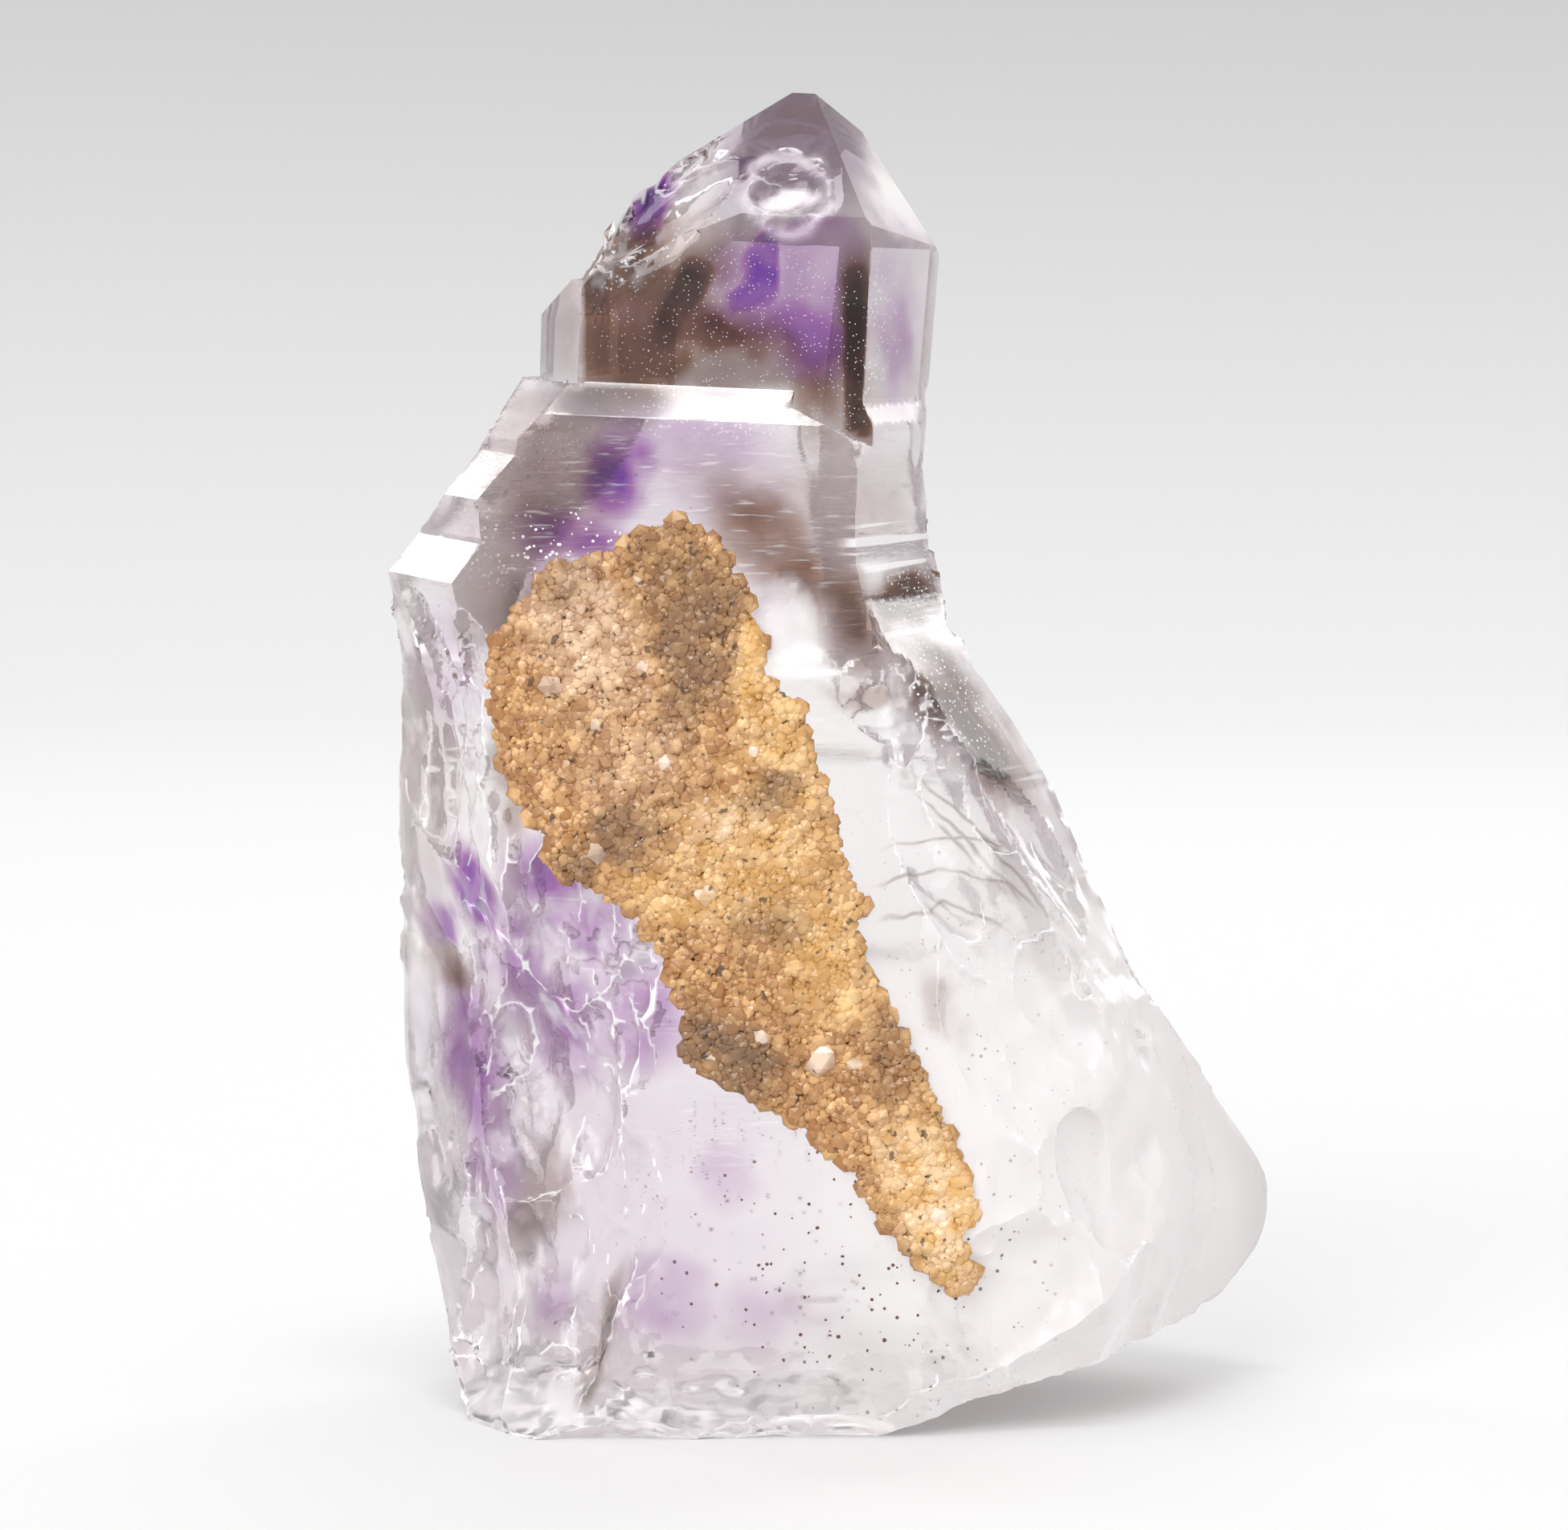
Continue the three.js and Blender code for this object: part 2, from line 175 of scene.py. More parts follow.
glass_mesh = fine_copy(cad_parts["quartz_crystal"], GRID_DEPTH, GRID_SHARE)
points = read(glass_mesh.vertices, "co", 3)
edges = read(glass_mesh.edges, "vertices", 2, int)
outward = read(glass_mesh.vertices, "normal", 3)

# A face that grew faces one of a level's six bearings once the lean is undone.
upright = np.stack([
    outward[:, 0] * math.cos(LEAN) - outward[:, 2] * math.sin(LEAN),
    outward[:, 1],
    outward[:, 0] * math.sin(LEAN) + outward[:, 2] * math.cos(LEAN)], 1)
bearing = np.degrees(np.arctan2(upright[:, 1], upright[:, 0]))
off_grid = np.abs((bearing + SIDE_TURN) % SIDE_TURN - SIDE_TURN / 2)
grown = (off_grid < FACE_DEG) | (points[:, 2] > TIP_START)
is_edge = np.abs(edge_bends(glass_mesh)) > EDGE_DEG
creased = np.zeros(len(points), bool)
creased[edges[is_edge].ravel()] = True
SOFT_RIMS = [(12.8, 15.4, 5.0, 7.4, 0, 1, 0.1)]  # the swollen right flank has no crisp rim
creased &= patches(points, SOFT_RIMS) < 0.5
points = relaxed(points, edges, (~grown & ~creased).astype(float), SHAPING_ROUNDS)

# The growth steps that run level across the hidden back are worn soft.
BACK_START = 1 * MM
LEVEL_RUN = 0.1 * MM
WORN_FROM, WORN_TO = 4 * MM, 48 * MM
WORN_RINGS = 3
WORN_ROUNDS = 24
run_up = np.abs(points[edges[:, 0], 2] - points[edges[:, 1], 2])
level = (run_up < LEVEL_RUN) & (points[edges].mean(1)[:, 1] > BACK_START) & is_edge
worn_step = np.zeros(len(points))
worn_step[edges[level].ravel()] = 1
worn_step[(points[:, 2] < WORN_FROM) | (points[:, 2] > WORN_TO)] = 0
for _ in range(WORN_RINGS):
    worn_step[edges[worn_step[edges].max(1) > 0].ravel()] = 1
points = relaxed(points, edges, worn_step, WORN_ROUNDS)

# Where the surface chipped: the place as in patches, then the number of chips, their least and
# greatest radius in mm, their depth against it, and the run and stretch that they are drawn out by.
EVERYWHERE = (0, 25, 60, 60, 0, 1, 0.1)
DOWN = (0.1, 0, -1)
CHIPS = [
    (EVERYWHERE, 320, 2.5, 6.0, 0.012, DOWN, 1.2),
    (EVERYWHERE, 600, 0.7, 2.0, 0.07, DOWN, 1.3),
    ((-15.5, 26, 4.5, 13, 8, 1, 0.1), 70, 2.0, 6.0, 0.05, DOWN, 1.5),
    ((-15.5, 26, 4.5, 13, 8, 1, 0.1), 300, 0.6, 2.0, 0.10, DOWN, 1.8),
    ((-14.0, 9, 5.5, 8, 0, 1, 0.1), 60, 2.0, 6.0, 0.05, DOWN, 1.5),
    ((-14.0, 9, 5.5, 8, 0, 1, 0.1), 260, 0.6, 2.0, 0.10, DOWN, 1.6),
    ((-10.2, 22.4, 2.4, 4.4, 0, 1, 0.1), 90, 0.6, 1.6, 0.10, DOWN, 1.3),
    ((2.0, 37.8, 2.8, 1.4, -20, 1, 0.1), 30, 0.4, 0.9, 0.10, DOWN, 1.6),
    ((-2.2, 41.0, 2.0, 2.2, 0, 1, 0.1), 14, 0.8, 2.0, 0.08, DOWN, 1.0),
    ((6.6, 28.0, 4.5, 8.0, 35, 1, 0.1), 30, 1.4, 4.0, 0.03, (0.62, 0.1, -0.78), 2.6),
    ((0.0, 1.5, 30, 2.6, 0, 1, 0.1), 300, 0.7, 2.2, 0.10, (1, 0, 0), 1.8),
    ((14.0, 11.0, 9, 13, 10, 1, 0.1), 200, 0.8, 3.2, 0.05, DOWN, 1.6),
    ((-8.4, 61.2, 4.6, 1.5, 45, 1, 0.1), 46, 0.7, 1.4, 0.12, (-0.7, -0.1, -0.7), 4.0),
    ((-9.4, 61.6, 1.0, 2.0, -20, 1, 0.1), 24, 0.6, 0.9, 0.16, DOWN, 1.6),
    ((-11.2, 58.8, 1.8, 1.3, 40, 1, 0.1), 40, 0.6, 0.9, 0.14, DOWN, 1.5),
    ((-2.3, 62.3, 2.3, 2.1, 0, 1, 0.1), 26, 0.7, 1.2, 0.12, (1, 0, 0), 1.6),
]
CHIP_SEED = 11
CHIPPED_FRONT = -4 * MM  # a grown face chips only in front of this
FOOT_CLEAR = 0.3 * MM  # chips stay above this, so that the foot stays flat
random = np.random.default_rng(CHIP_SEED)
for place, number, least, most, share, run, stretch in CHIPS:
    rough_here = (~grown | (points[:, 1] < CHIPPED_FRONT)) if place is not EVERYWHERE else ~grown
    open_to_it = rough_here & (patches(points, [place]) > 0.5)
    free = (open_to_it | ((patches(points, [place]) > 0) & ~grown)) & (points[:, 2] > FOOT_CLEAR)
    candidates = np.flatnonzero(open_to_it)
    picked = random.choice(candidates, min(number, len(candidates)), replace=False)
    radii = (least + (most - least) * random.uniform(0, 1, len(picked)) ** 2) * MM
    facing = outward[picked] + random.normal(0, 0.1, (len(picked), 3))
    facing /= np.linalg.norm(facing, axis=1)[:, None]
    depths = radii * share * random.uniform(0.4, 1.2, len(picked))
    points = chipped(points, free, picked, facing, radii, depths, np.array(run), stretch)

# The broken surface is a little uneven all over, and fades out at the edge of each grown face.
UNEVEN_SIZE = 2.4 * MM
UNEVEN_MM = 0.07
FRONT_START = -3 * MM
chipped_places = [place for place, *rest in CHIPS if place is not EVERYWHERE]
chipped_front = 0.8 * patches(points, chipped_places) * (points[:, 1] < FRONT_START)
broken_share = np.maximum((~grown).astype(float), chipped_front)
everywhere = np.ones(len(points))
broken_share = relaxed(np.repeat(broken_share[:, None], 3, 1), edges, everywhere, BLEND_ROUNDS)[:, 0]
uneven = rough_field(points, UNEVEN_SIZE, seed=5, octaves=4)
points = points + outward * (broken_share * uneven * UNEVEN_MM * MM)[:, None]
points[:, 2] = np.maximum(points[:, 2], 0)
glass_mesh.vertices.foreach_set("co", points.ravel())
glass_mesh.update()

crisp = glass_mesh.attributes.new("sharp_edge", "BOOLEAN", "EDGE")
bends = edge_bends(glass_mesh)
crisp.data.foreach_set("value", (np.abs(bends) > CREASE_DEG) & (worn_step[edges].min(1) == 0))
glass_mesh.polygons.foreach_set("use_smooth", np.ones(len(glass_mesh.polygons), bool))

# Ridges between chips, which get a painted white highlight.
ridge = np.zeros(len(points))
ridge[edges[bends > RIDGE_DEG].ravel()] = 1

# Where each colour and finish lies on the crystal, with the strengths and softness that patches takes.
# Zones are nearly square. Zones and the block lie only on faces turned to the front.
VIOLET_PATCHES = [
    (-5.3, 58.3, 1.8, 1.7, 0, 0.45, 0.6),
    (-3.4, 55.9, 4.4, 1.5, 0, 0.6, 0.6),
    (-1.3, 55.1, 2.4, 1.9, -20, 0.68, 0.6),
    (-11.3, 48.1, 1.5, 1.6, 25, 1.0, 0.8),
    (-10.2, 49.5, 1.6, 1.5, 25, 0.65, 0.8),
    (-7.0, 49.7, 3.8, 1.8, 0, 0.34, 0.6),
    (-6.0, 47.6, 3.6, 1.5, 0, 0.22, 0.7),
    (-13.3, 45.3, 2.7, 1.5, -12, 0.75, 0.7),
    (-12.2, 42.6, 3.6, 2.4, -20, 0.4, 0.7),
    (2.9, 54.8, 0.8, 2.8, 0, 0.42, 0.8),
    (2.6, 57.6, 1.4, 2.6, 0, 0.2, 0.8),
    (-2.4, 64.4, 3.4, 2.6, 0, 0.2, 0.6),
    (-9.4, 61.4, 0.9, 2.0, -20, 0.9, 0.5),
    (-18.2, 27.0, 1.1, 2.1, 20, 0.85, 0.5),
    (-20.4, 24.9, 1.1, 1.3, 0, 0.85, 0.5),
    (-18.4, 18.0, 1.6, 4.4, 12, 0.66, 0.6),
    (-17.4, 12.8, 1.5, 2.4, 12, 0.55, 0.6),
    (-19.6, 38.0, 1.6, 3.2, 0, 0.2, 0.8),
    (-14.4, 28.2, 1.8, 1.6, 0, 0.7, 0.6),
    (-15.9, 23.6, 1.7, 3.4, 10, 0.55, 0.8),
    (-13.6, 20.4, 1.9, 3.2, 0, 0.55, 0.7),
    (-12.6, 25.6, 2.4, 1.8, 0, 0.5, 0.8),
    (-9.8, 21.2, 2.4, 3.0, 0, 0.5, 0.7),
    (-5.6, 13.2, 1.6, 1.8, 20, 0.3, 0.9),
    (-8.8, 7.2, 2.5, 1.9, 0, 0.5, 0.9),
    (-4.2, 6.4, 2.0, 1.6, 0, 0.3, 0.9),
    (-14.4, 6.4, 1.2, 1.4, 0, 0.4, 0.8),
    (-11.0, 14.0, 8.0, 13.0, 0, 0.12, 0.9),
    (-9.0, 46.0, 8.0, 6.0, 0, 0.12, 0.6),
]
VIOLET_ZONES = [
    (-0.75, 58.2, 2.2, 2.9, 2, 0.47, 0.14),
    (-4.4, 57.2, 1.5, 0.8, 12, 0.95, 0.5),
]
VIOLET_BLOCK = [(-3.5, 58.6, 1.5, 1.9, -4, 0.95, 0.5)]
PALE_FLANK = -12.75  # the smoky colour of the tip stops at the edge of its left flank
BLOCK_SIDE = -2.75  # the block ends sharply here, against the paler orchid beside it
SMOKE_PATCHES = [
    (-10.4, 55.8, 4.2, 4.0, 0, 0.74, 0.35),
    (-6.4, 55.2, 3.6, 1.3, -10, 0.8, 0.7),
    (-2.6, 54.6, 2.6, 0.7, -24, 0.5, 0.8),
    (-7.2, 59.0, 1.8, 1.5, 40, 0.5, 0.8),
    (-2.6, 53.8, 4.6, 1.2, -24, 0.42, 0.6),
    (-5.0, 53.3, 3.8, 1.0, 0, 0.42, 0.5),
    (-0.9, 52.4, 1.4, 2.0, 0, 0.6, 0.7),
    (-10.4, 59.0, 3.0, 1.2, 40, 0.7, 0.6),
    (-14.6, 47.6, 3.0, 3.6, 0, 0.42, 0.7),
    (-2.6, 44.4, 1.9, 4.8, 46, 0.66, 0.7),
    (0.4, 41.4, 1.5, 2.8, 30, 0.66, 0.7),
    (-1.0, 46.6, 3.4, 2.4, 0, 0.25, 0.7),
    (-16.4, 42.0, 2.2, 3.4, 0, 0.36, 0.7),
    (-16.3, 33.0, 0.9, 3.0, 0, 0.45, 0.6),
    (3.3, 41.9, 1.5, 1.2, -10, 0.8, 0.5),
    (6.4, 35.4, 1.3, 4.4, 36, 0.8, 0.6),
    (2.4, 37.2, 2.6, 0.6, -6, 0.45, 0.5),
    (-20.2, 22.9, 1.8, 1.0, -20, 0.7, 0.6),
    (-21.0, 32.0, 1.6, 6.0, 0, 0.2, 0.7),
    (5.1, 21.9, 0.8, 1.8, 28, 0.42, 0.6),
    (-11.7, 5.4, 0.35, 2.8, -10, 0.7, 0.8),
    (-12.4, 2.8, 0.4, 0.9, 0, 0.9, 0.6),
    (-15.2, 11.4, 1.1, 3.0, -24, 0.35, 0.7),
]
SMOKE_ZONES = [
    (1.1, 54.3, 0.85, 4.9, 2, 1.0, 0.35),
    (-8.0, 56.7, 0.9, 2.8, -27, 1.0, 0.4),
    (-12.4, 57.2, 1.2, 1.2, 0, 0.9, 0.3),
]
GREY_PATCHES = [
    (-1.8, 64.4, 3.6, 3.4, 0, 0.62, 0.3),
    (-4.6, 62.0, 2.0, 1.2, 40, 0.5, 0.4),
    (-5.0, 53.3, 3.8, 1.0, 0, 0.5, 0.5),
    (6.2, 36.0, 1.3, 4.4, 36, 0.6, 0.5),
    (3.4, 41.9, 1.8, 1.3, -10, 0.6, 0.5),
    (-14.2, 54.8, 1.2, 3.4, 0, 0.35, 0.3),
    (3.0, 51.0, 1.8, 5.0, 0, 0.12, 0.8),
    (4.4, 43.4, 2.2, 2.4, 0, 0.2, 0.8),
    (8.6, 31.0, 2.0, 5.0, 35, 0.12, 0.8),
    # Painted shade: the next patch greys the ledge's left part to dim it.
    (-11.2, 51.8, 2.8, 1.0, 0, 0.75, 0.4),
]
LINED_PATCHES = [
    (-8.0, 46.4, 10.0, 4.4, 0, 1.0, 0.2),
    (-2.0, 44.0, 3.5, 6.0, 0, 0.8, 0.4),
    (4.5, 43.0, 2.4, 3.0, 0, 1.0, 0.4),
    (-4.0, 15.6, 7.0, 2.6, 0, 0.8, 0.6),
    (-4.0, 36.0, 6.0, 6.0, 0, 0.4, 0.6),
    (-10.0, 25.0, 5.0, 5.0, 0, 0.9, 0.5),
]
FROSTED_PATCHES = [
    (-5.0, 55.6, 8.0, 5.0, 0, 0.75, 0.3),
    (0.8, 54.0, 0.9, 5.4, 0, 1.0, 0.3),
    (-13.2, 45.2, 3.0, 2.0, 0, 1.0, 0.4),
    (5.4, 37.4, 2.4, 4.6, 35, 1.0, 0.4),
    (-16.0, 47.0, 3.0, 4.0, 0, 0.5, 0.5),
    (3.3, 41.9, 1.6, 1.3, 0, 1.0, 0.4),
]
# Milky, rough zones. Their white is partly painted glow, standing in for light from behind, and the band
# along the foot is painted light.
MILK_AND_GLOW_PATCHES = [
    (12.0, 12.0, 11.0, 16.0, 24, 1.0, 0.5),
    (-4.0, 7.0, 16.0, 9.0, 0, 0.3, 0.6),
    (0.0, 1.0, 30.0, 3.4, 0, 0.6, 0.6),
    (7.0, 24.0, 6.0, 10.0, 20, 0.3, 0.6),
]
# Etched, whitish patches; some, as in the ring-shaped hollow, are painted highlights.
ETCHED_AND_HIGHLIT_PATCHES = [
    (3.1, 62.2, 1.1, 3.4, 32, 0.6, 0.4),
    (-2.4, 40.4, 1.7, 1.8, 0, 0.6, 0.5),
    (-2.6, 61.8, 1.5, 0.5, 8, 1.2, 0.4),
    (-1.6, 38.5, 2.4, 0.16, -3, 1.0, 0.5),
    (-15.5, 1.0, 3.4, 1.4, 0, 0.5, 0.5),
]
LEDGE_SHADE = [(-11.4, 51.9, 2.8, 1.4, 0, 1, 0.3)]
WINDOW = [(-3.2, 40.8, 1.9, 2.4, 10, 1, 0.2)]
CRATER_RIM = [(-2.6, 62.0, 2.3, 2.2, 0, 1, 0.12)]
CRATER_FLOOR = [(-2.6, 62.0, 1.8, 1.7, 0, 1, 0.16)]
FLECKED_PATCHES = [
    (0.0, 9.0, 11.0, 8.0, 0, 1.0, 0.4),
    (6.0, 22.0, 5.0, 10.0, 20, 0.5, 0.6),
    (-12.0, 46.0, 6.0, 5.0, 0, 0.5, 0.6),
    (-8.0, 24.0, 5.0, 4.0, 0, 0.6, 0.6),
]
FANNED_PATCHES = [(5.4, 27.6, 3.8, 3.2, -25, 1.0, 0.25)]
SPLIT_PATCHES = [(7.1, 29.7, 4.6, 0.9, -47, 1.0, 0.25)]
FLANK_PATCHES = [(7.4, 35.6, 1.5, 4.8, 36, 1.0, 0.3)]
STRIATED_PATCHES = [
    (2.6, 44.7, 2.4, 1.6, -6, 1.0, 0.2),
    (4.4, 39.8, 2.4, 1.1, -8, 1.0, 0.2),
    (8.4, 32.6, 2.2, 0.7, 0, 0.8, 0.3),
]


def carry(mesh, name, values):
    """Stores a value at each point of a mesh, for its material to read."""
    mesh.attributes.new(name, "FLOAT", "POINT").data.foreach_set("value", values.astype(np.float32))


# The colours are strongest at the front and faint at the back, and a zone fades on a face turned aside.
FADE_START, FADE_DEPTH = 2 * MM, 5 * MM
BACK_SHARE = 0.15
front = points[:, 1] < 0
front_side = np.clip((FADE_START - points[:, 1]) / FADE_DEPTH, BACK_SHARE, 1)
facing_front = np.clip((-outward[:, 1] - 0.6) / 0.3, 0, 1)
violet_zones = facing_front * patches(points, VIOLET_ZONES, 0.25, 4)
violet = np.maximum(patches(points, VIOLET_PATCHES, 0.35), violet_zones)
block_side = np.clip((BLOCK_SIDE * MM - points[:, 0]) / (0.25 * MM), 0, 1)
violet = np.maximum(violet, facing_front * block_side * patches(points, VIOLET_BLOCK, 0.3))
smoke_zones = facing_front * patches(points, SMOKE_ZONES, 0.15, 4)
smoke = np.maximum(patches(points, SMOKE_PATCHES, 0.35), smoke_zones)
paler_side = (points[:, 2] > TIP_START) & (points[:, 0] < PALE_FLANK * MM)
smoke = np.where(paler_side, 0.25 * smoke, smoke)
window = patches(points, WINDOW, 0.5)
flank = patches(points, FLANK_PATCHES, 0.2) * front
carry(glass_mesh, "violet", violet * front_side)
carry(glass_mesh, "smoke", smoke * front_side * (1 - 0.85 * window))
carry(glass_mesh, "grey", patches(points, GREY_PATCHES, 0.3) * front_side)
carry(glass_mesh, "lined", patches(points, LINED_PATCHES))
carry(glass_mesh, "frosted", patches(points, FROSTED_PATCHES, 0.6) * (points[:, 1] < FRONT_START))
carry(glass_mesh, "flecked", patches(points, FLECKED_PATCHES, 1.0))
carry(glass_mesh, "fanned", patches(points, FANNED_PATCHES, 0.6) * front)
carry(glass_mesh, "split", patches(points, SPLIT_PATCHES, 0.2) * front)
carry(glass_mesh, "flank", flank)
carry(glass_mesh, "striated", patches(points, STRIATED_PATCHES, 0.2) * (points[:, 1] < FADE_START))
carry(glass_mesh, "ridge", ridge * broken_share)
carry(glass_mesh, "milk_and_glow", patches(points, MILK_AND_GLOW_PATCHES))
carry(glass_mesh, "broken", broken_share)

# Some patches are etched. The rim of the ring-shaped hollow and the sloping ledges get painted highlights,
# white that stands in for the light they reflect, but the ledge's left part is dim.
STEPS_FROM, STEPS_TO = 39 * MM, 53 * MM
etched_and_highlit = patches(points, ETCHED_AND_HIGHLIT_PATCHES, 0.3)
crater_highlight = patches(points, CRATER_RIM, 0.3) - patches(points, CRATER_FLOOR, 0.3)
etched_and_highlit = np.maximum(etched_and_highlit, 0.7 * np.clip(crater_highlight, 0, 1))
slope = (upright[:, 2] > 0.35) & (upright[:, 2] < 0.85)
slope &= (points[:, 2] > STEPS_FROM) & (points[:, 2] < STEPS_TO)
ledge_shade = patches(points, LEDGE_SHADE)
bright_slope = slope * (1 - ledge_shade) * (outward[:, 1] < -0.2) * (off_grid < FACE_DEG)
etched_and_highlit = np.maximum(etched_and_highlit, 0.5 * bright_slope)
carry(glass_mesh, "etched_and_highlit", etched_and_highlit)
carry(glass_mesh, "dimmed", np.maximum(flank, slope * ledge_shade))


def add(tree, kind, inputs=None, **settings):
    """Adds a shader node, and fills each named or numbered input with a value or with an output."""
    made = tree.nodes.new("ShaderNode" + kind)
    for name, value in settings.items():
        setattr(made, name, value)
    for socket, value in (inputs or {}).items():
        if isinstance(value, bpy.types.NodeSocket):
            tree.links.new(value, made.inputs[socket])
        else:
            made.inputs[socket].default_value = value
    return made


def carried(tree, name):
    """What a mesh carries under a name, as a node's output."""
    return add(tree, "Attribute", attribute_name=name).outputs["Fac"]


def noise(tree, place, size, detail, stretch=(1, 1, 1)):
    """Noise of a feature size in metres, drawn out by a stretch along each axis."""
    spread = add(tree, "Mapping", {"Vector": place, "Scale": tuple(1 / s for s in stretch)})
    made = add(tree, "TexNoise", {"Vector": spread.outputs[0], "Scale": 1 / size, "Detail": detail})
    return made.outputs["Fac"]


def blend(tree, share, one, other, how="MIX"):
    """One colour laid over another by a share from 0 to 1."""
    mixed = add(tree, "Mix", {0: share, 6: one, 7: other}, data_type="RGBA", blend_type=how)
    return mixed.outputs[2]


def ramp(tree, value, low, high, start=0.0, end=1.0):
    """A value taken from one range to another, held at both ends."""
    ranged = add(tree, "MapRange", {0: value, 1: low, 2: high, 3: start, 4: end})
    return ranged.outputs[0]


def times(tree, one, other):
    """Two values multiplied."""
    return add(tree, "Math", {0: one, 1: other}, operation="MULTIPLY").outputs[0]


def plus(tree, one, other):
    """Two values added."""
    return add(tree, "Math", {0: one, 1: other}, operation="ADD").outputs[0]


def larger(tree, *values):
    """The largest of some values."""
    most = values[0]
    for value in values[1:]:
        most = add(tree, "Math", {0: most, 1: value}, operation="MAXIMUM").outputs[0]
    return most


def arcs(tree, place, sway, centre, radii, width, waver):
    """Thin rings seen from the front around a centre, across and up, as a share of 1 on each line.
    The rings waver by about a quarter of the waver, in mm, as a noise called the sway goes to and fro."""
    flat = add(tree, "VectorMath", {0: place, 1: (1, 0, 1)}, operation="MULTIPLY").outputs[0]
    middle = (centre[0] * MM, 0, centre[1] * MM)
    reach = add(tree, "VectorMath", {0: flat, 1: middle}, operation="DISTANCE").outputs["Value"]
    reach = plus(tree, reach, times(tree, sway, waver * MM))
    lines = []
    for radius in radii:
        off = add(tree, "Math", {0: reach, 1: (radius + 0.5 * waver) * MM}, operation="SUBTRACT").outputs[0]
        off = add(tree, "Math", {0: off}, operation="ABSOLUTE").outputs[0]
        lines.append(ramp(tree, off, 0.1 * width * MM, width * MM, 1, 0))
    return larger(tree, *lines)


def dots(tree, specks, chance, rarity, size):
    """Round dots in the cells of the specks: a cell has one if its chance is above the rarity.
    Its radius grows with its chance, up to the size, as a share of a cell."""
    reach = ramp(tree, chance, rarity, 1.0, 0, size)
    return add(tree, "Math", {0: specks.outputs["Distance"], 1: reach}, operation="LESS_THAN").outputs[0]


def blank(name):
    """A new material without nodes, its node tree, and the place on the piece as a node's output."""
    made = bpy.data.materials.new(name)
    made.use_nodes = True
    made.node_tree.nodes.clear()
    return made, made.node_tree, add(made.node_tree, "TexCoord").outputs["Object"]


QUARTZ_IOR = 1.544
CLEAN_TINT = (1.0, 0.990, 0.986, 1)
BROKEN_TINT = (0.995, 0.980, 0.980, 1)
SMOKY_GREY_AND_SHADE = (0.40, 0.35, 0.40, 1)
LILAC = (0.48, 0.22, 0.54, 1)
DEEP_VIOLET = (0.16, 0.022, 0.44, 1)
SMOKY_BROWN = (0.35, 0.20, 0.13, 1)
DARK_SMOKE = (0.17, 0.13, 0.15, 1)
CRACK_BROWN = (0.40, 0.33, 0.27, 1)
FROST_AND_HIGHLIGHT_WHITE = (0.97, 0.96, 0.97, 1)
ETCHED_AND_HIGHLIGHT_WHITE = (0.98, 0.95, 0.95, 1)
MILKY_GLOW_WHITE = (1.0, 0.985, 0.975, 1)
FLECK_RED = (0.05, 0.005, 0.004, 1)
INNER_TINT = (0.93, 0.88, 0.90, 1)
INNER_DENSITY = 16.0
SPECK_CELL = 0.21 * MM
# Curved cracks and growth edges: the centre across and up, the radii, the width and the waver, in mm.
FAN_ARCS = ((4.6, 20.5), (9.6, 8.0, 6.1), 0.14, 1.2)
SPLIT_ARCS = ((-22.1, 2.4), (39.2, 39.6, 40.3), 0.14, 0.8)
FLANK_ARCS = ((-25.6, 12.8), (38.9, 39.8, 40.5), 0.16, 0.5)


